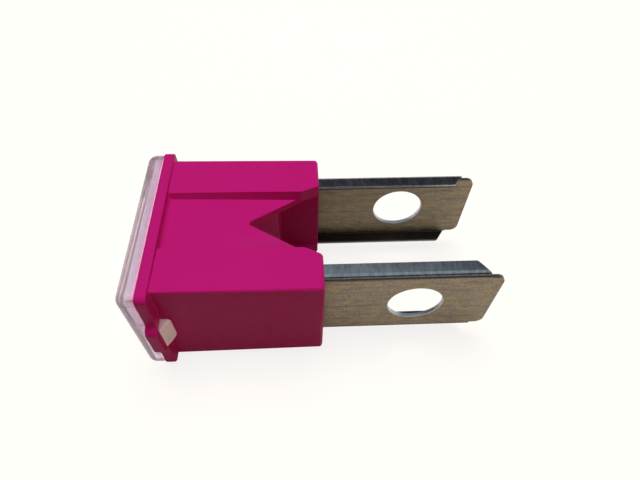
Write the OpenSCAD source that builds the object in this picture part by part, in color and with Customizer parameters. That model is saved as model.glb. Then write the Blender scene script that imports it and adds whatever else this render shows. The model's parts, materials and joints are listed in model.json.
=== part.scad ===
// Bolt-in cartridge link fuse: a moulded housing with two towers, a clear snap cover,
// one folded strip that makes both legs and the link between them, and a tin pellet on it.
// The fuse lies on a wide face. +X runs from the cover to the legs, +Z is up.
// Modules are written from the rim: x = 0 is the rim's face on the leg side.

/* [Legs] */
// Distance over the outer faces of the two legs
leg_span = 15.25; // [14:0.05:20]
// Width of each leg over its two bends
leg_w = 11.5; // [9.5:0.1:14]
// Length of each leg outside the housing
leg_len = 20; // [17:0.1:30]
// Thickness of the strip
sheet_t = 0.5; // [0.4:0.05:0.8]
// Depth of the folded flanges, from the leg's outer face
flange_d = 1.9; // [1.4:0.1:2.4]
// Inner radius of the folds
fold_r = 0.12; // [0.1:0.02:0.3]
// Length of the slanting end of each flange
flange_cut = 1.35; // [0.5:0.05:2]
// Radius of the flanges' free corners
flange_r = 0.5; // [0.2:0.1:0.8]
// Diameter of the bolt hole
hole_d = 6.4; // [5.2:0.1:7]
// Distance from the middle of the bolt hole to the leg's tip
hole_to_tip = 9.25; // [7:0.05:11]
// Length of the flat tongue beyond the flanges
tongue_len = 1.6; // [1:0.1:3]
// Width of the flat tongue
tongue_w = 10.1; // [8:0.1:11]
// Corner radius of the tongue
tongue_r = 1; // [0.4:0.1:2]

/* [Housing] */
// Length of the housing from the rim to the tower ends
body_len = 17.8; // [15:0.1:24]
// Wall between a leg's outer face and the housing's end, at the rim
tower_wall = 1.95; // [1.5:0.05:3]
// Wall between a leg's folded edge and the wide face, at the rim
face_wall = 1.3; // [1.2:0.05:3]
// Wall between a leg's flange and the pocket between the towers
inner_wall = 0.6; // [0.4:0.05:1]
// Draft of the wide faces in degrees
face_draft = 0.95; // [0:0.05:1.2]
// Radius of the long edges of the body
edge_r = 0.25; // [0.15:0.05:0.9]
// Radius of the outer edges at the tower ends
end_r = 0.4; // [0.2:0.1:0.8]

/* [Rim] */
// Thickness of the rim
rim_t = 1.25; // [1:0.05:2]
// How far the rim stands out past the ends
rim_out_end = 1.25; // [0.8:0.05:1.6]
// How far the rim stands out past the wide faces
rim_out_face = 0.4; // [0.2:0.05:1.5]
// Corner radius of the rim
rim_r = 0.8; // [0.4:0.1:2]
// How far the latch lobes stand out past the rim
lobe_out = 1; // [0.8:0.05:2]
// Corner radius of a latch lobe
lobe_r = 0.7; // [0.3:0.1:1]
// Radius of the hollow where a latch lobe leaves the rim
lobe_hollow_r = 0.6; // [0.3:0.1:1]
// Distance from a latch slot's end to the lobe's corner above it
lobe_side = 0.55; // [0.2:0.05:0.8]

/* [Recess and notch] */
// Depth of the recess in each wide face
recess_d = 0.82; // [0.5:0.01:1.2]
// How far each tower face laps over the pocket
tower_lap = 0.9; // [0.5:0.05:1.5]
// How far the recess wall slopes in
recess_slope = 0.5; // [0:0.05:0.8]
// Radius where the recess meets the rim
recess_r = 0.7; // [0.2:0.1:0.9]
// Thickness of the panel between the recess and the pocket, at the tower ends
panel_t = 1; // [0.7:0.05:1.5]
// Depth of the notch from the tower ends
notch_depth = 8.2; // [6:0.1:9]
// Length of the notch's wider end stretch
notch_mouth = 2; // [1:0.1:3]
// Radius of the notch's tip
notch_r = 0.35; // [0.2:0.05:1]
// Depth of the pocket between the towers
pocket_depth = 5; // [3:0.1:6]

/* [Chamber] */
// Wall of the chamber at the housing's ends, at the rim
end_wall = 1.2; // [0.9:0.05:1.5]
// Wall between the chamber's floor and the notch
floor_t = 1.6; // [1:0.1:3]
// How far a leg's shoulders stand out over its slot
shoulder = 0.32; // [0.2:0.02:0.4]
// Height of a leg's shoulders
shoulder_h = 1.4; // [1:0.1:2]
// How far below the chamber's floor the flanges begin
flange_start = 0.45; // [0.2:0.05:1]

/* [Link] */
// Width of the narrow link
link_w = 1.8; // [1:0.1:3]
// Distance from the rim's cover side down to the link
link_inset = 1.4; // [0.6:0.1:2]
// Radius at the middle of the strip in the link's bends
link_r = 1.1; // [0.8:0.1:1.5]
// Half the width of the link's loop, at the middle of the strip
loop_r = 1.6; // [1.3:0.1:2]
// Depth of the loop's straight sides
loop_side = 1.3; // [0.5:0.1:2]
// Length of the taper from the leg to the link
taper_len = 2.6; // [1.5:0.1:3]
// Thickness of the ears that hold the pellet
ear_t = 0.4; // [0.3:0.05:0.6]

/* [Cover] */
// Height of the cover above the rim
cover_h = 2.1; // [1.8:0.1:4]
// Thickness of the cover's window
window_t = 1; // [0.7:0.05:1.3]
// Thickness of the cover's side walls
cover_wall = 0.9; // [0.7:0.05:1.2]
// Radius of the cover's outer edges
cover_r = 1.2; // [0.6:0.1:1.6]
// How far the cover stands back from the rim's edge
cover_inset = 0.02; // [0:0.02:0.3]
// Width of each latch
latch_w = 3.6; // [3:0.1:5]
// Length of a latch beyond the rim
latch_len = 1.1; // [0.8:0.05:2]
// Thickness of a latch at its tip
latch_tip = 0.25; // [0.15:0.05:0.5]
// Corner radius of a latch's tip
latch_r = 0.5; // [0.2:0.1:1]
// How far a latch's barb stands out
barb_out = 0.35; // [0.25:0.05:0.6]
// Thickness of the barb's edge
barb_edge = 0.15; // [0.1:0.05:0.3]

/* [Fits] */
// Gap round a leg in its slot
slot_gap = 0.1; // [0.05:0.01:0.15]
// Gap round a latch in its slot, and between its barb and the rim
latch_gap = 0.08; // [0.05:0.01:0.15]
// Gap round the pellet
pellet_gap = 0.02; // [0:0.01:0.05]

/* [Hidden] */
$fn = 64;
eps = 0.01;
over = 1;
far = 60;
smallest_r = 0.05;

fold_out_r = fold_r + sheet_t;
web_y = leg_span / 2;
web_in_y = web_y - sheet_t;
web_mid_y = web_y - sheet_t / 2;
flange_y = web_y - flange_d;
leg_z = leg_w / 2;

body_w = leg_span + 2 * tower_wall;
body_h = leg_w + 2 * face_wall;
face_drop = body_len * tan(face_draft);

rim_y = body_w / 2 + rim_out_end;
rim_z = body_h / 2 + rim_out_face;

pocket_y = flange_y - slot_gap - inner_wall;
pocket_z = body_h / 2 - face_drop - recess_d - panel_t;
recess_y = pocket_y - tower_lap;
pocket_x = body_len - pocket_depth;
notch_x = body_len - notch_depth;
floor_x = notch_x - floor_t;

shoulder_z = leg_z + slot_gap + shoulder;
bay_y = body_w / 2 - end_wall;
bay_z = shoulder_z + slot_gap;

leg_tip_x = body_len + leg_len;
hole_x = leg_tip_x - hole_to_tip;
flange_end_x = leg_tip_x - tongue_len;
flange_top_x = floor_x + flange_start;
shoulder_x = floor_x - shoulder_h;

link_x = link_inset - rim_t + sheet_t / 2;
loop_x = link_x + link_r + loop_side;
pellet_r = loop_r - sheet_t / 2 - pellet_gap;
pellet_top_x = loop_x - pellet_r / 2;

cover_y = rim_y - cover_inset;
cover_z = rim_z - cover_inset;
latch_in_y = body_w / 2 + latch_gap;
latch_z = latch_w / 2;
slot_y = cover_y + latch_gap;
slot_z = latch_z + latch_gap;

x_mid = (leg_tip_x - rim_t - cover_h) / 2;

// ---- helpers -------------------------------------------------------------

// stands the model on its lower wide face, over the origin
module placed() {
    translate([-x_mid, 0, rim_z]) children();
}

// extrudes a shape drawn in (x, y) up and down from z = 0
module slab(height) {
    linear_extrude(height = height, center = true) children();
}

// extrudes a shape drawn in (y, z) along x, from x0 to x1
module along_x(x0, x1) {
    translate([x0, 0, 0])
        rotate([90, 0, 90])
            linear_extrude(height = x1 - x0) children();
}

// extrudes a shape drawn in (x, z) along y, centred
module along_y(width) {
    rotate([90, 0, 0])
        linear_extrude(height = width, center = true) children();
}

// rectangle with four round corners, from true arcs
module round_rect(half_a, half_b, r) {
    square([2 * half_a, 2 * (half_b - r)], center = true);
    square([2 * (half_a - r), 2 * half_b], center = true);
    for (i = [-1, 1], j = [-1, 1])
        translate([i * (half_a - r), j * (half_b - r)]) circle(r);
}

// block with its base at x = 0, its top at x = -t, and every other edge round
module soft_block(half_y, half_z, t, r) {
    intersection() {
        union() {
            along_x(r - t, 0) round_rect(half_y, half_z, r);
            translate([-t, r - half_y, r - half_z])
                cube([t, 2 * (half_y - r), 2 * (half_z - r)]);
            translate([r - t, 0, 0]) round_edges(half_y - r, half_z - r, r);
        }
        translate([-t, -half_y, -half_z]) cube([t, 2 * half_y, 2 * half_z]);
    }
}

// rods and balls round a rectangle in the plane x = 0
module round_edges(half_y, half_z, r) {
    for (s = [-1, 1]) {
        translate([0, s * half_y, 0]) cylinder(h = 2 * half_z, r = r, center = true);
        translate([0, 0, s * half_z])
            rotate([90, 0, 0]) cylinder(h = 2 * half_y, r = r, center = true);
        for (j = [-1, 1]) translate([0, s * half_y, j * half_z]) sphere(r);
    }
}

// both sides of the middle plane y = 0
module both_legs() {
    for (s = [0, 1]) mirror([0, s, 0]) children();
}

// both wide faces
module both_faces() {
    for (s = [0, 1]) mirror([0, 0, s]) children();
}

// ---- housing -------------------------------------------------------------

// body outline from the rim to the tower ends, narrowed by a draft, its end corners round
module body_outline(half_w, draft) {
    corner = [body_len - end_r,
              half_w - body_len * tan(draft) - end_r * (1 - sin(draft)) / cos(draft)];
    touch = corner + end_r * [sin(draft), cos(draft)];
    root = [-eps, half_w + eps * tan(draft)];
    polygon([[root.x, -root.y], [touch.x, -touch.y], [body_len, -corner.y],
             [body_len, corner.y], touch, root]);
    for (s = [-1, 1]) circle_at([corner.x, s * corner.y], end_r);
}

// what is cut from a long edge of the body to make it round
module edge_cut() {
    translate([0, body_w / 2, body_h / 2])
        rotate([0, face_draft, 0])
            along_x(-over, far)
                difference() {
                    translate([-edge_r, -edge_r]) square(edge_r + over);
                    circle_at([-edge_r, -edge_r], edge_r);
                }
}

module body_block() {
    difference() {
        intersection() {
            slab(far) body_outline(body_w / 2, 0);
            along_y(far) body_outline(body_h / 2, face_draft);
        }
        both_legs() both_faces() edge_cut();
    }
}

// lobe of the rim round a latch, in (y, z): each side curves out from the rim
module lobe_outline() {
    mid = [rim_y + lobe_out - lobe_r, slot_z + lobe_side - lobe_r];
    reach = lobe_r + lobe_hollow_r;
    hollow_y = rim_y + lobe_hollow_r;
    hollow = [hollow_y, mid.y + sqrt(reach * reach - (hollow_y - mid.x) * (hollow_y - mid.x))];
    touch = mid + (hollow - mid) * lobe_r / reach;
    difference() {
        polygon([[rim_y - rim_r, -hollow.y], [rim_y, -hollow.y], [touch.x, -touch.y],
                 [mid.x, -mid.y], [rim_y + lobe_out, -mid.y],
                 [rim_y + lobe_out, mid.y], mid, touch,
                 [rim_y, hollow.y], [rim_y - rim_r, hollow.y]]);
        for (s = [-1, 1]) circle_at([hollow.x, s * hollow.y], lobe_hollow_r);
    }
    for (s = [-1, 1]) circle_at([mid.x, s * mid.y], lobe_r);
}

module rim_outline() {
    round_rect(rim_y, rim_z, rim_r);
    both_lobes();
}

module both_lobes() {
    for (s = [0, 1]) mirror([s, 0]) lobe_outline();
}

// recess between the towers on one wide face, sloping with that face
module recess_cut() {
    translate([0, 0, body_h / 2]) rotate([0, face_draft, 0])
        intersection() {
            along_x(0, far)
                polygon([[-recess_y, eps], [-recess_y + recess_slope, -recess_d],
                         [recess_y - recess_slope, -recess_d], [recess_y, eps]]);
            along_y(far) {
                translate([recess_r, -recess_d]) square([far, recess_d + over]);
                translate([0, recess_r - recess_d]) square([far, recess_d + over]);
                translate([recess_r, recess_r - recess_d]) circle(recess_r);
            }
        }
}

// notch seen on the wide faces: a round tip, two long sides and a wider mouth
module notch_plan() {
    knee = [body_len - notch_mouth, recess_y];
    tip = [notch_x + notch_r, 0];
    reach = norm(knee - tip);
    lean = atan2(knee.y, knee.x - tip.x) + asin(notch_r / reach);
    touch = tip + notch_r * [-sin(lean), cos(lean)];
    circle_at(tip, notch_r);
    polygon([tip, touch, knee, [body_len, pocket_y], [body_len + over, pocket_y],
             [body_len + over, -pocket_y], [body_len, -pocket_y],
             [knee.x, -knee.y], [touch.x, -touch.y]]);
}

module circle_at(place, r) {
    translate(place) circle(r);
}

// chamber under the cover: two bays for the legs and a lower middle between the panels
module chamber_cut() {
    middle_z = min(bay_z, body_h / 2 - recess_d - panel_t);
    depth = rim_t + over + floor_x;
    both_legs()
        translate([floor_x - depth, recess_y, -bay_z])
            cube([depth, bay_y - recess_y, 2 * bay_z]);
    translate([floor_x - depth, -recess_y - eps, -middle_z])
        cube([depth, 2 * (recess_y + eps), 2 * middle_z]);
}

// slot through the rim for one latch
module latch_slot() {
    translate([-rim_t - over, body_w / 2, -slot_z])
        cube([rim_t + over, slot_y - body_w / 2, 2 * slot_z]);
}

module housing() {
    color([0.72, 0.1, 0.47])
        placed()
            difference() {
                union() {
                    body_block();
                    along_x(-rim_t, 0) rim_outline();
                }
                both_faces() recess_cut();
                slab(far) notch_plan();
                translate([pocket_x, -pocket_y, -pocket_z])
                    cube([pocket_depth + over, 2 * pocket_y, 2 * pocket_z]);
                chamber_cut();
                both_legs() {
                    along_x(floor_x - over, body_len + over) channel_section(slot_gap);
                    latch_slot();
                }
            }
}

// ---- cover ---------------------------------------------------------------

// latch seen on the wide face: an arm through the rim, and a wedge that hooks under it
module latch_profile() {
    root_x = -rim_t - cover_h / 2;
    hook_x = latch_gap;
    barb_y = cover_y + barb_out;
    polygon([[root_x, latch_in_y], [latch_len, latch_in_y],
             [latch_len, latch_in_y + latch_tip], [hook_x + barb_edge, barb_y],
             [hook_x, barb_y], [hook_x, cover_y], [root_x, cover_y]]);
}

module latch() {
    intersection() {
        slab(far) latch_profile();
        along_y(far)
            translate([latch_len - far / 2, 0]) round_rect(far / 2, latch_z, latch_r);
    }
}

module cover() {
    color([0.86, 0.86, 0.88, 0.45])
        placed() {
            translate([-rim_t, 0, 0])
                difference() {
                    soft_block(cover_y, cover_z, cover_h, cover_r);
                    translate([window_t - cover_h, cover_wall - cover_y, cover_wall - cover_z])
                        cube([cover_h, 2 * (cover_y - cover_wall), 2 * (cover_z - cover_wall)]);
                }
            both_legs() latch();
        }
}

// ---- fuse element --------------------------------------------------------

// section of one leg in (y, z): web outside, flanges folded in; grown by gap for its slot
module channel_section(gap) {
    out_r = fold_out_r + gap;
    in_r = max(fold_r - gap, smallest_r);
    difference() {
        union() {
            translate([flange_y - gap, -leg_z - gap])
                square([flange_d + 2 * gap - out_r, leg_w + 2 * gap]);
            translate([flange_y - gap, -leg_z - gap + out_r])
                square([flange_d + 2 * gap, leg_w + 2 * gap - 2 * out_r]);
            for (s = [-1, 1])
                circle_at([web_y + gap - out_r, s * (leg_z + gap - out_r)], out_r);
        }
        union() {
            inner_z = leg_z - sheet_t - gap;
            inner_y = web_in_y - gap;
            translate([0, -inner_z]) square([inner_y - in_r, 2 * inner_z]);
            translate([0, in_r - inner_z]) square([inner_y, 2 * (inner_z - in_r)]);
            for (s = [-1, 1])
                circle_at([inner_y - in_r, s * (inner_z - in_r)], in_r);
        }
    }
}

// flanges seen on the wide face: both ends slant, and their free corners are round
module flange_outline() {
    lean = atan2(flange_d, flange_cut);
    trim = flange_r * tan(lean / 2);
    touch = [trim * cos(lean), flange_y + trim * sin(lean)];
    top_x = flange_top_x - eps + flange_cut;
    end_x = flange_end_x + eps - flange_cut;
    past = (flange_d + over) / tan(lean);
    polygon([[top_x - past, web_y + over], [top_x - touch.x, touch.y],
             [top_x + trim, flange_y], [end_x - trim, flange_y],
             [end_x + touch.x, touch.y], [end_x + past, web_y + over]]);
    for (x = [top_x + trim, end_x - trim]) circle_at([x, flange_y + flange_r], flange_r);
}

// flat parts of one leg seen from outside: shoulders, taper to the link, web and tongue
module web_outline() {
    flat_z = leg_z - fold_out_r;
    taper_x = shoulder_x - taper_len;
    polygon([[taper_x, -link_w / 2], [shoulder_x, -shoulder_z + shoulder_h],
             [shoulder_x, -shoulder_z], [floor_x, -shoulder_z],
             [floor_x, -flat_z], [flange_end_x, -flat_z],
             [flange_end_x, flat_z], [floor_x, flat_z],
             [floor_x, shoulder_z], [shoulder_x, shoulder_z],
             [shoulder_x, shoulder_z - shoulder_h], [taper_x, link_w / 2]]);
    translate([flange_end_x - tongue_r, -tongue_w / 2])
        square([tongue_len, tongue_w]);
    tongue_tip();
}

// round-cornered end of the tongue
module tongue_tip() {
    translate([leg_tip_x - 2 * tongue_r, tongue_r - tongue_w / 2])
        square([2 * tongue_r, tongue_w - 2 * tongue_r]);
    for (s = [-1, 1])
        circle_at([leg_tip_x - tongue_r, s * (tongue_w / 2 - tongue_r)], tongue_r);
}

module leg() {
    difference() {
        union() {
            intersection() {
                along_x(flange_top_x, flange_end_x) channel_section(0);
                slab(far) flange_outline();
            }
            translate([0, web_mid_y, 0]) along_y(sheet_t) web_outline();
        }
        translate([hole_x, web_mid_y, 0])
            rotate([90, 0, 0]) cylinder(h = 2 * sheet_t, d = hole_d, center = true);
    }
}

// quarter of a bend about a centre, towards the signs given
module bend(place, r, sx, sy) {
    reach = r + sheet_t;
    translate(place)
        intersection() {
            difference() {
                circle(r + sheet_t / 2);
                circle(r - sheet_t / 2);
            }
            translate([sx > 0 ? 0 : -reach, sy > 0 ? 0 : -reach]) square(reach);
        }
}

// one half of the link, seen on the wide face: up from the leg, across and down the loop
module half_link() {
    root_x = shoulder_x - taper_len;
    half_t = sheet_t / 2;
    translate([link_x + link_r, web_mid_y - half_t])
        square([root_x - link_x - link_r + eps, sheet_t]);
    bend([link_x + link_r, web_mid_y - link_r], link_r, -1, 1);
    translate([link_x - half_t, loop_r + link_r])
        square([sheet_t, web_mid_y - loop_r - 2 * link_r]);
    bend([link_x + link_r, loop_r + link_r], link_r, -1, -1);
    translate([link_x + link_r, loop_r - half_t]) square([loop_side, sheet_t]);
    bend([loop_x, 0], loop_r, 1, 1);
}

// ears that close over the two ends of the pellet
module ears() {
    both_faces()
        translate([0, 0, link_w / 2])
            linear_extrude(height = ear_t)
                intersection() {
                    circle_at([loop_x, 0], loop_r + sheet_t / 2);
                    translate([loop_x, -far / 2]) square([far, far]);
                }
}

module fuse_element() {
    color([0.55, 0.5, 0.42])
        placed() {
            both_legs() {
                leg();
                slab(link_w) half_link();
            }
            ears();
        }
}

// ---- tin pellet ----------------------------------------------------------

// slug of tin that fills the bottom of the loop
module tin_pellet() {
    color([0.78, 0.79, 0.8])
        placed()
            slab(link_w - 2 * pellet_gap)
                intersection() {
                    circle_at([loop_x, 0], pellet_r);
                    translate([pellet_top_x, -far / 2]) square([far, far]);
                }
}

housing();
cover();
fuse_element();
tin_pellet();
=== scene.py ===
import json
import math

import bmesh
import bpy
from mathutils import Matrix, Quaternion, Vector


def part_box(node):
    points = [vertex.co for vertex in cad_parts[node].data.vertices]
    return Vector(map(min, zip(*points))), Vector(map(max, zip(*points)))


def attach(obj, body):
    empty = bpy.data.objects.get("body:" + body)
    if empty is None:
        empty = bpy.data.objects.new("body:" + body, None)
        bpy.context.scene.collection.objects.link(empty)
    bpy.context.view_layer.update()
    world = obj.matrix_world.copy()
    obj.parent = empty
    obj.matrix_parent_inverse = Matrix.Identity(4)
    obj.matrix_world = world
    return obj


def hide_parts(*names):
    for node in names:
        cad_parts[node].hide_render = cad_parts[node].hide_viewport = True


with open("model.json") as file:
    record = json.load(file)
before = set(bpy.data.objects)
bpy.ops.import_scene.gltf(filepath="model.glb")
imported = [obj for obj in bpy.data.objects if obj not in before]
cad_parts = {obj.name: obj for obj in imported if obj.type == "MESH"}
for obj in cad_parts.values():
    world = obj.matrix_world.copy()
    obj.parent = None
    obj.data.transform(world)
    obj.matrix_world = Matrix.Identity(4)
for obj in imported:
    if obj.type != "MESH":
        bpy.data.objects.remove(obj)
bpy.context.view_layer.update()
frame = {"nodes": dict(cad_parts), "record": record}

mm = 0.001
print("fuse frame loaded")


# small helpers for meshes and node trees

shaping = {
    "weld": 0.0002 * mm,  # points nearer than this are one
    "flatAngle": 0.4,  # faces that turn less than this are one flat
    "sharpAngle": 30,  # edges that turn more than this are rounded
    "smoothAngle": 40,
    "leastEdge": 0.03 * mm,  # edges that end at a shorter one stay sharp
}


def newObject(name, mesh):
    piece = bpy.data.objects.new(name, mesh)
    bpy.context.scene.collection.objects.link(piece)
    return piece


def applyModifiers(piece):
    graph = bpy.context.evaluated_depsgraph_get()
    mesh = bpy.data.meshes.new_from_object(piece.evaluated_get(graph))
    piece.modifiers.clear()
    piece.data = mesh
    return piece


def joinFlats(work, nodeName):
    # flat faces in one piece each side of the middle planes, so that none runs round a hole
    bmesh.ops.remove_doubles(work, verts=work.verts, dist=shaping["weld"])
    low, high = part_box(nodeName)
    for across in ((0, 1, 0), (0, 0, 1)):
        whole = work.verts[:] + work.edges[:] + work.faces[:]
        cut = bmesh.ops.bisect_plane(work, geom=whole, dist=shaping["weld"],
                                     plane_co=(low + high) / 2, plane_no=across)
        for item in cut["geom_cut"]:
            if isinstance(item, bmesh.types.BMEdge):
                item.seam = True
    bmesh.ops.dissolve_limit(work, angle_limit=math.radians(shaping["flatAngle"]),
                             verts=work.verts, edges=work.edges, delimit={"NORMAL", "SEAM"})


def mergedCopy(nodeName, pieceName):
    # the node's loose triangles as one closed mesh
    mesh = frame["nodes"][nodeName].data.copy()
    work = bmesh.new()
    work.from_mesh(mesh)
    joinFlats(work, nodeName)
    work.to_mesh(mesh)
    work.free()
    mesh.materials.clear()
    return newObject(pieceName, mesh)


def markEdges(piece, shortest):
    # bevel weight on sharp edges whose ends are clear of very short edges
    work = bmesh.new()
    work.from_mesh(piece.data)
    weight = work.edges.layers.float.new("bevel_weight_edge")
    crowded = set()
    for edge in work.edges:
        if edge.calc_length() < shortest:
            crowded.update(edge.verts)
    for edge in work.edges:
        sharp = edge.calc_face_angle(0) > math.radians(shaping["sharpAngle"])
        clear = not (edge.verts[0] in crowded or edge.verts[1] in crowded)
        edge[weight] = 1.0 if sharp and clear else 0.0
    work.to_mesh(piece.data)
    work.free()


def roundEdges(piece, settings):
    markEdges(piece, settings.get("leastEdge", shaping["leastEdge"]))
    bevel = piece.modifiers.new("round", "BEVEL")
    bevel.limit_method = "WEIGHT"
    bevel.width = settings["round"]
    bevel.segments = settings["roundSteps"]
    bevel.use_clamp_overlap = False
    bevel.miter_outer = "MITER_SHARP"
    applyModifiers(piece)
    piece.data.polygons.foreach_set("use_smooth", [True] * len(piece.data.polygons))
    piece.data.set_sharp_from_angle(angle=math.radians(shaping["smoothAngle"]))
    flat = piece.modifiers.new("flat faces", "WEIGHTED_NORMAL")
    flat.keep_sharp = True
    applyModifiers(piece)


def addNode(tree, kind, **settings):
    node = tree.nodes.new(kind)
    for key, value in settings.items():
        setattr(node, key, value)
    return node


def setInputs(node, **values):
    for key, value in values.items():
        node.inputs[key].default_value = value
    return node


def newMaterial(name):
    material = bpy.data.materials.new(name)
    material.use_nodes = True
    tree = material.node_tree
    return material, tree, tree.nodes["Principled BSDF"]


def objectPattern(tree, stretch=(1, 1, 1)):
    # object coordinates; a pattern is drawn out along an axis whose stretch is below 1
    coords = addNode(tree, "ShaderNodeTexCoord")
    mapping = setInputs(addNode(tree, "ShaderNodeMapping"), Scale=stretch)
    tree.links.new(coords.outputs["Object"], mapping.inputs["Vector"])
    return mapping.outputs["Vector"]


def noise(tree, vector, scale, detail, roughness):
    node = addNode(tree, "ShaderNodeTexNoise")
    setInputs(node, Scale=scale, Detail=detail, Roughness=roughness)
    tree.links.new(vector, node.inputs["Vector"])
    return node.outputs["Fac"]


def ramp(tree, value, stops):
    node = addNode(tree, "ShaderNodeValToRGB")
    points = node.color_ramp.elements
    stops = list(stops)
    while len(points) < len(stops):
        points.new(0.5)
    for point, (place, colour) in zip(points, stops):
        point.position = place
        point.color = (*colour, 1)
    tree.links.new(value, node.inputs["Fac"])
    return node.outputs["Color"]


def spread(tree, value, low, high, start=0.3, end=0.7):
    # a value between start and end as one between low and high
    node = addNode(tree, "ShaderNodeMapRange")
    node.inputs["From Min"].default_value = start
    node.inputs["From Max"].default_value = end
    node.inputs["To Min"].default_value = low
    node.inputs["To Max"].default_value = high
    tree.links.new(value, node.inputs["Value"])
    return node.outputs["Result"]


def stepAt(tree, value, start, end):
    # soft step from 0 to 1 between two places
    node = addNode(tree, "ShaderNodeMapRange", interpolation_type="SMOOTHSTEP")
    node.inputs["From Min"].default_value = start
    node.inputs["From Max"].default_value = end
    tree.links.new(value, node.inputs["Value"])
    return node.outputs["Result"]


def mixColours(tree, share, first, second):
    node = addNode(tree, "ShaderNodeMix", data_type="RGBA")
    sockets = node.inputs[0], node.inputs[6], node.inputs[7]  # its factor and two colours
    for socket, value in zip(sockets, (share, first, second)):
        if isinstance(value, bpy.types.NodeSocket):
            tree.links.new(value, socket)
        elif isinstance(value, tuple):
            socket.default_value = (*value, 1)
        else:
            socket.default_value = value
    return node.outputs[2]


def combine(tree, operation, first, second):
    node = addNode(tree, "ShaderNodeMath", operation=operation)
    for socket, value in zip(node.inputs, (first, second)):
        if isinstance(value, bpy.types.NodeSocket):
            tree.links.new(value, socket)
        else:
            socket.default_value = value
    return node.outputs[0]


def bump(tree, height, strength, distance, normal=None):
    node = addNode(tree, "ShaderNodeBump")
    setInputs(node, Strength=strength, Distance=distance)
    tree.links.new(height, node.inputs["Height"])
    if normal:
        tree.links.new(normal, node.inputs["Normal"])
    return node.outputs["Normal"]


# camera

camera = {
    "place": (-1.89 * mm, -35.23 * mm, 56.0 * mm),
    "aim": (0.67 * mm, 1.99 * mm, 7.45 * mm),
    "roll": 1.74,
    "lens": 26.96,
    "nearest": 1 * mm,
    "farthest": 10,
}


def makeCamera():
    data = bpy.data.cameras.new("camera")
    data.lens = camera["lens"]
    data.clip_start = camera["nearest"]
    data.clip_end = camera["farthest"]
    eye = newObject("camera", data)
    sight = Vector(camera["aim"]) - Vector(camera["place"])
    turn = sight.to_track_quat("-Z", "Y") @ Quaternion((0, 0, 1), math.radians(camera["roll"]))
    eye.location = camera["place"]
    eye.rotation_euler = turn.to_euler()
    bpy.context.scene.camera = eye


makeCamera()
print("camera placed")


# floor, world and lamps

studio = {
    "floorSize": 1.2,
    "floorDrop": 0.01 * mm,  # below the fuse, so the two don't share a plane
    "floorColour": (0.22, 0.19, 0.14),
    "floorLift": 0.83,
    "glossColour": (0.92, 0.92, 0.92),
    "glossLift": 0.08,
    "ambient": (0.17, 0.14, 0.10),
    "domeLow": (1.0, 1.0, 1.0),
    "domeMid": (0.055, 0.055, 0.065),
    "domeHigh": (0.52, 0.61, 0.70),
    "domePlaces": (0.26, 0.44, 0.775, 0.835),  # heights where the dome's colours start and end
    "keyPlace": (0.0, 0.09, 0.43),
    "keySize": 0.30,
    "keyPower": 1.68,
    "keyColour": (0.99, 0.98, 1.05),
    "fillPlace": (0.30, -0.21, 0.10),
    "fillSize": 0.25,
    "fillPower": 0.30,
    "fillColour": (1.0, 0.56, 0.32),
}


def sightRays(tree):
    # rays that show the backdrop, and of those the mirror images outside the clear plastic
    path = addNode(tree, "ShaderNodeLightPath").outputs
    through = combine(tree, "ADD", path["Is Camera Ray"], path["Is Transmission Ray"])
    shown = combine(tree, "ADD", through, path["Is Glossy Ray"])
    outside = combine(tree, "LESS_THAN", path["Transmission Depth"], 0.5)
    mirror = combine(tree, "MULTIPLY", path["Is Glossy Ray"], outside)
    return shown, mirror


def makeFloor():
    half = studio["floorSize"] / 2
    mesh = bpy.data.meshes.new("floor")
    corners = [(-half, -half, 0), (half, -half, 0), (half, half, 0), (-half, half, 0)]
    mesh.from_pydata(corners, [], [(0, 1, 2, 3)])
    floor = newObject("floor", mesh)
    floor.location.z = -studio["floorDrop"]
    material = bpy.data.materials.new("pale floor")
    material.use_nodes = True
    tree = material.node_tree
    tree.nodes.clear()
    out = addNode(tree, "ShaderNodeOutputMaterial")
    matt = addNode(tree, "ShaderNodeBsdfDiffuse")
    glow = setInputs(addNode(tree, "ShaderNodeEmission"), Color=(1, 1, 1, 1))
    both = addNode(tree, "ShaderNodeAddShader")
    shown, mirror = sightRays(tree)
    tree.links.new(mixColours(tree, mirror, studio["floorColour"], studio["glossColour"]),
                   matt.inputs["Color"])
    lift = combine(tree, "MULTIPLY", shown, studio["floorLift"])
    less = combine(tree, "MULTIPLY", mirror, studio["floorLift"] - studio["glossLift"])
    tree.links.new(combine(tree, "SUBTRACT", lift, less), glow.inputs["Strength"])
    tree.links.new(matt.outputs[0], both.inputs[0])
    tree.links.new(glow.outputs[0], both.inputs[1])
    tree.links.new(both.outputs[0], out.inputs["Surface"])
    mesh.materials.append(material)


def makeWorld():
    world = bpy.data.worlds.new("studio")
    bpy.context.scene.world = world
    world.use_nodes = True
    tree = world.node_tree
    backdrop = tree.nodes["Background"]
    shown, mirror = sightRays(tree)
    # gloss sees the white backdrop low down, the dim room above it and a soft ceiling
    coords = addNode(tree, "ShaderNodeTexCoord")
    split = addNode(tree, "ShaderNodeSeparateXYZ")
    tree.links.new(coords.outputs["Generated"], split.inputs[0])
    colours = [studio[name] for name in ("domeLow", "domeMid", "domeMid", "domeHigh")]
    dome = ramp(tree, split.outputs["Z"], zip(studio["domePlaces"], colours))
    seen = mixColours(tree, shown, studio["ambient"], studio["domeLow"])
    tree.links.new(mixColours(tree, mirror, seen, dome), backdrop.inputs["Color"])


def makeLamp(name):
    data = bpy.data.lights.new(name, "AREA")
    data.shape = "DISK"
    data.size = studio[name + "Size"]
    data.energy = studio[name + "Power"]
    data.color = studio[name + "Colour"]
    lamp = newObject(name, data)
    lamp.location = studio[name + "Place"]
    lamp.rotation_euler = (-Vector(lamp.location)).to_track_quat("-Z", "Y").to_euler()
    lamp.visible_glossy = False


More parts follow.
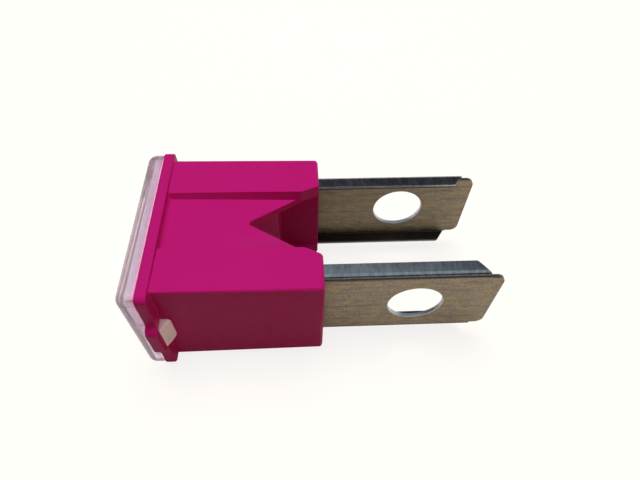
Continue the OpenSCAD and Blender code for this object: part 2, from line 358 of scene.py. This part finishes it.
def makeStudio():
    makeFloor()
    makeWorld()
    makeLamp("key")
    makeLamp("fill")
    bpy.context.scene.view_settings.view_transform = "Standard"


makeStudio()
print("studio lit")


# housing: satin magenta moulding; a pattern is its scale, detail and roughness,
# and a bump its strength and depth

housing = {
    "round": 0.18 * mm,
    "roundSteps": 3,
    "colour": (0.474, 0.009, 0.168),
    "deepColour": (0.446, 0.008, 0.152),
    "roughness": (0.36, 0.44),
    "specular": 0.07,
    "bend": 1.53,
    "clouds": (220, 4, 0.55),
    "grain": (5200, 2, 0.6),
    "grainBump": (0.12, 0.006 * mm),
    "swirl": (900, 3, 0.6),
    "swirlBump": (0.04, 0.01 * mm),
}


def housingPlastic():
    material, tree, shader = newMaterial("magenta moulded plastic")
    place = objectPattern(tree)
    clouds = noise(tree, place, *housing["clouds"])
    grain = noise(tree, place, *housing["grain"])
    swirl = noise(tree, place, *housing["swirl"])
    colour = mixColours(tree, clouds, housing["deepColour"], housing["colour"])
    tree.links.new(colour, shader.inputs["Base Color"])
    tree.links.new(spread(tree, swirl, *housing["roughness"]), shader.inputs["Roughness"])
    rough = bump(tree, grain, *housing["grainBump"])
    tree.links.new(bump(tree, swirl, *housing["swirlBump"], rough), shader.inputs["Normal"])
    shader.inputs["IOR"].default_value = housing["bend"]
    shader.inputs["Specular IOR Level"].default_value = housing["specular"]
    return material


def makeHousing():
    piece = mergedCopy("housing", "housingShell")
    roundEdges(piece, housing)
    piece.data.materials.append(housingPlastic())
    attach(piece, "root")
    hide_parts("housing")


makeHousing()
print("housing moulded")


# cover: clear snap cover

cover = {
    "round": 0.08 * mm,
    "roundSteps": 3,
    "leastEdge": 0.06 * mm,
    "seat": 0.015 * mm,
    "seatReach": 0.001 * mm,
    # painted shade on the cover's end
    "endShadeTint": (0.49, 0.38, 0.40),
    "ridgeTint": (0.78, 0.70, 0.75),
    "wallTint": (0.57, 0.49, 0.58),
    # painted reflection of the magenta rim, on the cover's foot
    "footRimReflectionTint": (0.80, 0.30, 0.54),
    "tintPlaces": (0.40, 0.46, 0.54, 0.74, 1.0),  # from the window to the foot
    "latchTint": (1.0, 0.94, 0.94),
    "lampTint": (0.86, 0.82, 0.84),
    "clear": 0.84,
    "latchClear": 0.4,
    "bend": 1.40,
    "roughness": (0.20, 0.27),
    "windowRoughness": 0.03,
    "windowTint": (0.90, 0.87, 0.89),
    "windowFacing": (0.7, 0.95),  # how squarely a face looks along the fuse
    "latchSpan": (0.9 * mm, 1.4 * mm),  # past the foot
    "haze": (260, 3, 0.5),
    "wave": (900, 2, 0.5),
    "waveStretch": (1, 0.2, 0.2),
    "waveBump": (0.05, 0.02 * mm),
}


def clearPlastic():
    material, tree, shader = newMaterial("clear moulded plastic")
    place = objectPattern(tree)
    haze = noise(tree, place, *cover["haze"])
    wave = noise(tree, objectPattern(tree, cover["waveStretch"]), *cover["wave"])
    # the end is painted darker, a painted shade, and the foot is painted pink, a painted
    # reflection of the magenta rim under it
    top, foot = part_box("cover")[0].x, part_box("housing")[0].x
    split = addNode(tree, "ShaderNodeSeparateXYZ")
    tree.links.new(place, split.inputs[0])
    names = ("endShadeTint", "ridgeTint", "wallTint", "wallTint", "footRimReflectionTint")
    tray = ramp(tree, spread(tree, split.outputs["X"], 0, 1, top, foot),
                zip(cover["tintPlaces"], [cover[name] for name in names]))
    # the latches are milky where they come out under the rim
    latch = stepAt(tree, split.outputs["X"], *[foot + way for way in cover["latchSpan"]])
    sides = mixColours(tree, latch, tray, cover["latchTint"])
    loss = combine(tree, "MULTIPLY", latch, cover["clear"] - cover["latchClear"])
    tree.links.new(combine(tree, "SUBTRACT", cover["clear"], loss),
                   shader.inputs["Transmission Weight"])
    shader.inputs["IOR"].default_value = cover["bend"]
    # the window faces are polished, the side walls are hazy
    facing = addNode(tree, "ShaderNodeSeparateXYZ")
    tree.links.new(addNode(tree, "ShaderNodeTexCoord").outputs["Normal"], facing.inputs[0])
    window = stepAt(tree, combine(tree, "ABSOLUTE", facing.outputs["X"], 0),
                    *cover["windowFacing"])
    tree.links.new(mixColours(tree, window, sides, cover["windowTint"]),
                   shader.inputs["Base Color"])
    wall = spread(tree, haze, *cover["roughness"])
    polish = combine(tree, "SUBTRACT", wall, cover["windowRoughness"])
    tree.links.new(combine(tree, "SUBTRACT", wall, combine(tree, "MULTIPLY", window, polish)),
                   shader.inputs["Roughness"])
    tree.links.new(bump(tree, wave, *cover["waveBump"]), shader.inputs["Normal"])
    # lamps light what lies under the cover
    path = addNode(tree, "ShaderNodeLightPath")
    clear = setInputs(addNode(tree, "ShaderNodeBsdfTransparent"),
                      Color=(*cover["lampTint"], 1))
    either = addNode(tree, "ShaderNodeMixShader")
    tree.links.new(path.outputs["Is Shadow Ray"], either.inputs[0])
    tree.links.new(shader.outputs[0], either.inputs[1])
    tree.links.new(clear.outputs[0], either.inputs[2])
    tree.links.new(either.outputs[0], tree.nodes["Material Output"].inputs["Surface"])
    return material


def liftSeat(piece):
    # a hair's gap under the cover's foot, so the two plastics don't share a face
    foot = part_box("housing")[0].x
    for point in piece.data.vertices:
        if abs(point.co.x - foot) < cover["seatReach"]:
            point.co.x -= cover["seat"]


def makeCover():
    piece = mergedCopy("cover", "clearCover")
    liftSeat(piece)
    roundEdges(piece, cover)
    piece.data.materials.append(clearPlastic())
    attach(piece, "root")
    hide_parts("cover")


makeCover()
print("cover snapped on")


# strip: tarnished tin-plated copper alloy

strip = {
    "round": 0.05 * mm,
    "roundSteps": 2,
    "leastEdge": 0.05 * mm,
    "brown": (0.378, 0.302, 0.170),
    "grey": (0.232, 0.199, 0.156),
    # the cut walls' colour: a bright bluish painted highlight
    "cut": (0.62, 0.66, 0.68),
    "cutReach": 0.05 * mm,
    "blue": (0.430, 0.440, 0.450),
    "slate": (0.230, 0.235, 0.240),
    # dark tarnish for the streaks and specks, and painted shade along the folds
    "dark": (0.045, 0.038, 0.035),
    # where the painted shade along the fold starts and ends, off the webs' middle
    "foldStart": 4.95 * mm,
    "foldEnd": 5.35 * mm,
    "flangeStart": 5.65 * mm,
    "streaks": (2600, 4, 0.6),
    "streakStretch": (0.04, 1, 1),
    "streakRange": (0.4, 0, 0.3, 0.5),  # most and least dark, and the noise they belong to
    "streakBump": (0.3, 0.008 * mm),
    "smears": (2400, 4, 0.65),
    "smearStretch": (1, 0.3, 1),
    "mottle": (1500, 6, 0.75),
    "mottleStretch": (0.6, 1, 1),
    "mottleRange": (0, 1, 0.38, 0.6),
    "specks": (5200, 4, 0.7),
    "speckRange": (0.55, 0, 0.3, 0.55),
    "webRoughness": (0.47, 0.61),
    "flangeRoughness": (0.16, 0.24),
}


def offMiddle(tree, place):
    # distance above or below the middle of the webs
    split = addNode(tree, "ShaderNodeSeparateXYZ")
    tree.links.new(place, split.inputs[0])
    low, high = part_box("fuse_element")
    off = combine(tree, "SUBTRACT", split.outputs["Z"], (low.z + high.z) / 2)
    return combine(tree, "ABSOLUTE", off, 0)


def holeWallHighlight(tree, place):
    # 1 on the cut wall of the bolt holes, where a bright painted highlight goes
    mount = frame["record"]["mounts"][0]
    away = addNode(tree, "ShaderNodeVectorMath", operation="SUBTRACT")
    tree.links.new(place, away.inputs[0])
    away.inputs[1].default_value = mount["pos_m"]
    flat = addNode(tree, "ShaderNodeVectorMath", operation="MULTIPLY")
    tree.links.new(away.outputs[0], flat.inputs[0])
    flat.inputs[1].default_value = (1, 0, 1)
    length = addNode(tree, "ShaderNodeVectorMath", operation="LENGTH")
    tree.links.new(flat.outputs[0], length.inputs[0])
    wall = mount["dims"]["r_mm"] * mm + strip["cutReach"]
    return combine(tree, "LESS_THAN", length.outputs["Value"], wall)


def tarnishedTin():
    material, tree, shader = newMaterial("tarnished tin plate")
    plain = objectPattern(tree)
    streaks = noise(tree, objectPattern(tree, strip["streakStretch"]), *strip["streaks"])
    smears = noise(tree, objectPattern(tree, strip["smearStretch"]), *strip["smears"])
    mottle = noise(tree, objectPattern(tree, strip["mottleStretch"]), *strip["mottle"])
    specks = noise(tree, plain, *strip["specks"])
    web = mixColours(tree, spread(tree, mottle, *strip["mottleRange"]),
                     strip["grey"], strip["brown"])
    web = mixColours(tree, spread(tree, streaks, *strip["streakRange"]), web, strip["dark"])
    web = mixColours(tree, spread(tree, specks, *strip["speckRange"]), web, strip["dark"])
    flange = mixColours(tree, spread(tree, smears, 1, 0), strip["blue"], strip["slate"])
    off = offMiddle(tree, plain)
    # the fold between web and flange is painted dark, a painted shade along the bend
    fold = mixColours(tree, stepAt(tree, off, strip["foldStart"], strip["foldEnd"]),
                      web, strip["dark"])
    onFlange = stepAt(tree, off, strip["foldEnd"], strip["flangeStart"])
    sheet = mixColours(tree, onFlange, fold, flange)
    # the cut walls of the holes get the painted highlight
    tree.links.new(mixColours(tree, holeWallHighlight(tree, plain), sheet, strip["cut"]),
                   shader.inputs["Base Color"])
    shader.inputs["Metallic"].default_value = 1
    dull = addNode(tree, "ShaderNodeMix")
    tree.links.new(onFlange, dull.inputs[0])
    tree.links.new(spread(tree, mottle, *strip["webRoughness"]), dull.inputs[2])
    tree.links.new(spread(tree, smears, *strip["flangeRoughness"]), dull.inputs[3])
    tree.links.new(dull.outputs[0], shader.inputs["Roughness"])
    tree.links.new(bump(tree, streaks, *strip["streakBump"]), shader.inputs["Normal"])
    return material


# the narrow link between the legs, with its loop and ears round the pellet

link = {
    "width": 1.8 * mm,
    "sheet": 0.5 * mm,
    "bendRadius": 1.1 * mm,
    "pelletGap": 0.02 * mm,
    "reach": 3.2 * mm,
    "cutSnap": 0.0001 * mm,
    "weld": 0.001 * mm,
    "earThickness": 0.4 * mm,
    "earShare": 0.25,  # of the sheet, how far an ear reaches past the loop's middle line
    "earSteps": 3,  # for each bend step
    "bendSteps": 8,
    "loopMiddle": 3.5,  # the loop's bends are points 3 and 4 of the line
}


def linkPlan():
    # places of the link's path, from the boxes of the strip and its pellet
    low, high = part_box("fuse_element")
    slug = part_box("tin_pellet")[1]
    half = link["sheet"] / 2
    around = half + link["pelletGap"]
    return {"top": low.x + half, "side": high.y - half, "loop": slug.y + around,
            "bottom": slug.x + around, "middle": (low.z + high.z) / 2}


def linkLine(plan):
    # the path with square corners, from one leg round the pellet to the other
    root = plan["top"] + link["reach"]
    half = [(root, plan["side"]), (plan["top"], plan["side"]),
            (plan["top"], plan["loop"]), (plan["bottom"], plan["loop"])]
    corners = [(x, -y) for x, y in half] + half[::-1]
    mesh = bpy.data.meshes.new("linkLine")
    mesh.from_pydata([(x, y, plan["middle"]) for x, y in corners],
                     [(n, n + 1) for n in range(len(corners) - 1)], [])
    return newObject("fuseLink", mesh)


def linkTree(material):
    tree = bpy.data.node_groups.new("folded fuse link", "GeometryNodeTree")
    inputs = {"Sheet": "Float", "Width": "Float", "Bend Radius": "Float", "Loop Radius": "Float",
              "Ear Thickness": "Float", "Ear Place": "Vector", "Bend Steps": "Int"}
    tree.interface.new_socket("Geometry", in_out="INPUT", socket_type="NodeSocketGeometry")
    for name, kind in inputs.items():
        tree.interface.new_socket(name, in_out="INPUT", socket_type="NodeSocket" + kind)
    tree.interface.new_socket("Geometry", in_out="OUTPUT", socket_type="NodeSocketGeometry")
    start = addNode(tree, "NodeGroupInput").outputs
    join = tree.links.new

    # the strip: the line's corners rounded, the two at the loop more than the rest
    line = addNode(tree, "GeometryNodeMeshToCurve")
    join(start["Geometry"], line.inputs[0])
    place = addNode(tree, "GeometryNodeInputIndex")
    along = combine(tree, "SUBTRACT", place.outputs[0], link["loopMiddle"])
    off = combine(tree, "ABSOLUTE", along, 0)
    atLoop = combine(tree, "LESS_THAN", off, 1)
    more = combine(tree, "SUBTRACT", start["Loop Radius"], start["Bend Radius"])
    radius = combine(tree, "ADD", combine(tree, "MULTIPLY", atLoop, more), start["Bend Radius"])
    fillet = addNode(tree, "GeometryNodeFilletCurve", mode="POLY")
    join(line.outputs[0], fillet.inputs["Curve"])
    join(radius, fillet.inputs["Radius"])
    join(start["Bend Steps"], fillet.inputs["Count"])
    upright = addNode(tree, "GeometryNodeSetCurveNormal", mode="Z_UP")
    join(fillet.outputs[0], upright.inputs[0])
    section = addNode(tree, "GeometryNodeCurvePrimitiveQuadrilateral")
    join(start["Sheet"], section.inputs["Width"])
    join(start["Width"], section.inputs["Height"])
    sweep = addNode(tree, "GeometryNodeCurveToMesh")
    join(upright.outputs[0], sweep.inputs["Curve"])
    join(section.outputs[0], sweep.inputs["Profile Curve"])
    sweep.inputs["Fill Caps"].default_value = True
    weld = addNode(tree, "GeometryNodeMergeByDistance")
    weld.inputs["Distance"].default_value = link["weld"]
    join(sweep.outputs[0], weld.inputs[0])

    # the ears: a half disc of sheet on each side of the loop
    arc = addNode(tree, "GeometryNodeCurveArc")
    join(combine(tree, "MULTIPLY", start["Bend Steps"], link["earSteps"]),
         arc.inputs["Resolution"])
    arc.inputs["Start Angle"].default_value = math.radians(-90)
    arc.inputs["Sweep Angle"].default_value = math.radians(180)
    over = combine(tree, "MULTIPLY", start["Sheet"], link["earShare"])
    join(combine(tree, "ADD", start["Loop Radius"], over), arc.inputs["Radius"])
    closed = addNode(tree, "GeometryNodeSetSplineCyclic")
    closed.inputs["Cyclic"].default_value = True
    join(arc.outputs[0], closed.inputs[0])
    up = addNode(tree, "ShaderNodeCombineXYZ")
    join(start["Ear Thickness"], up.inputs["Z"])
    rise = addNode(tree, "GeometryNodeCurvePrimitiveLine")
    join(up.outputs[0], rise.inputs["End"])
    ear = addNode(tree, "GeometryNodeCurveToMesh")
    join(rise.outputs[0], ear.inputs["Curve"])
    join(closed.outputs[0], ear.inputs["Profile Curve"])
    ear.inputs["Fill Caps"].default_value = True
    step = addNode(tree, "ShaderNodeCombineXYZ")
    join(combine(tree, "ADD", start["Width"], start["Ear Thickness"]), step.inputs["Z"])
    pair = addNode(tree, "GeometryNodeMeshLine")
    pair.inputs["Count"].default_value = 2
    join(start["Ear Place"], pair.inputs["Start Location"])
    join(step.outputs[0], pair.inputs["Offset"])
    ears = addNode(tree, "GeometryNodeInstanceOnPoints")
    join(pair.outputs[0], ears.inputs["Points"])
    join(ear.outputs[0], ears.inputs["Instance"])

    whole = addNode(tree, "GeometryNodeJoinGeometry")
    join(weld.outputs[0], whole.inputs[0])
    join(ears.outputs[0], whole.inputs[0])
    real = addNode(tree, "GeometryNodeRealizeInstances")
    join(whole.outputs[0], real.inputs[0])
    finish = addNode(tree, "GeometryNodeSetMaterial")
    finish.inputs["Material"].default_value = material
    join(real.outputs[0], finish.inputs["Geometry"])
    join(finish.outputs[0], addNode(tree, "NodeGroupOutput").inputs[0])
    return tree


def foldLink(material):
    plan = linkPlan()
    piece = linkLine(plan)
    nodes = piece.modifiers.new("fold", "NODES")
    nodes.node_group = linkTree(material)
    earPlace = (plan["bottom"] - plan["loop"], 0,
                plan["middle"] - link["width"] / 2 - link["earThickness"])
    sizes = {"Sheet": link["sheet"], "Width": link["width"], "Bend Radius": link["bendRadius"],
             "Loop Radius": plan["loop"], "Ear Thickness": link["earThickness"],
             "Ear Place": earPlace, "Bend Steps": link["bendSteps"]}
    for socket in nodes.node_group.interface.items_tree:
        if socket.in_out == "INPUT" and socket.name in sizes:
            nodes[socket.identifier] = sizes[socket.name]
    return applyModifiers(piece)


def cutLegs():
    # the two folded legs, without the link between them
    piece = mergedCopy("fuse_element", "foldedStrip")
    plan = linkPlan()
    work = bmesh.new()
    work.from_mesh(piece.data)
    whole = work.verts[:] + work.edges[:] + work.faces[:]
    bmesh.ops.bisect_plane(work, geom=whole, dist=link["cutSnap"], clear_inner=True,
                           plane_co=(plan["top"] + link["reach"], 0, 0), plane_no=(1, 0, 0))
    loop = [point for point in work.verts if abs(point.co.y) < plan["loop"] + link["width"]]
    bmesh.ops.delete(work, geom=loop, context="VERTS")
    rims = [edge for edge in work.edges if edge.is_boundary]
    bmesh.ops.holes_fill(work, edges=rims, sides=0)
    bmesh.ops.recalc_face_normals(work, faces=work.faces)
    work.to_mesh(piece.data)
    work.free()
    return piece


def makeStrip():
    material = tarnishedTin()
    piece = cutLegs()
    narrow = foldLink(material)
    union = piece.modifiers.new("one strip", "BOOLEAN")
    union.operation = "UNION"
    union.solver = "EXACT"
    union.use_self = True
    union.object = narrow
    applyModifiers(piece)
    bpy.data.objects.remove(narrow)
    work = bmesh.new()
    work.from_mesh(piece.data)
    joinFlats(work, "fuse_element")
    bmesh.ops.recalc_face_normals(work, faces=work.faces)
    work.to_mesh(piece.data)
    work.free()
    piece.data.materials.clear()
    roundEdges(piece, strip)
    piece.data.materials.append(material)
    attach(piece, "root")
    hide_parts("fuse_element")


makeStrip()
print("strip folded")


# pellet: cast tin

pellet = {
    "round": 0.06 * mm,
    "roundSteps": 3,
    "colour": (0.62, 0.62, 0.61),
    "roughness": (0.28, 0.5),
    "pits": (3200, 4, 0.6),
    "pitBump": (0.3, 0.02 * mm),
}


def castTin():
    material, tree, shader = newMaterial("cast tin")
    pits = noise(tree, objectPattern(tree), *pellet["pits"])
    shader.inputs["Base Color"].default_value = (*pellet["colour"], 1)
    shader.inputs["Metallic"].default_value = 1
    tree.links.new(spread(tree, pits, *pellet["roughness"]), shader.inputs["Roughness"])
    tree.links.new(bump(tree, pits, *pellet["pitBump"]), shader.inputs["Normal"])
    return material


def makePellet():
    piece = mergedCopy("tin_pellet", "tinPellet")
    roundEdges(piece, pellet)
    piece.data.materials.append(castTin())
    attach(piece, "root")
    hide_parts("tin_pellet")


makePellet()
print("pellet cast")
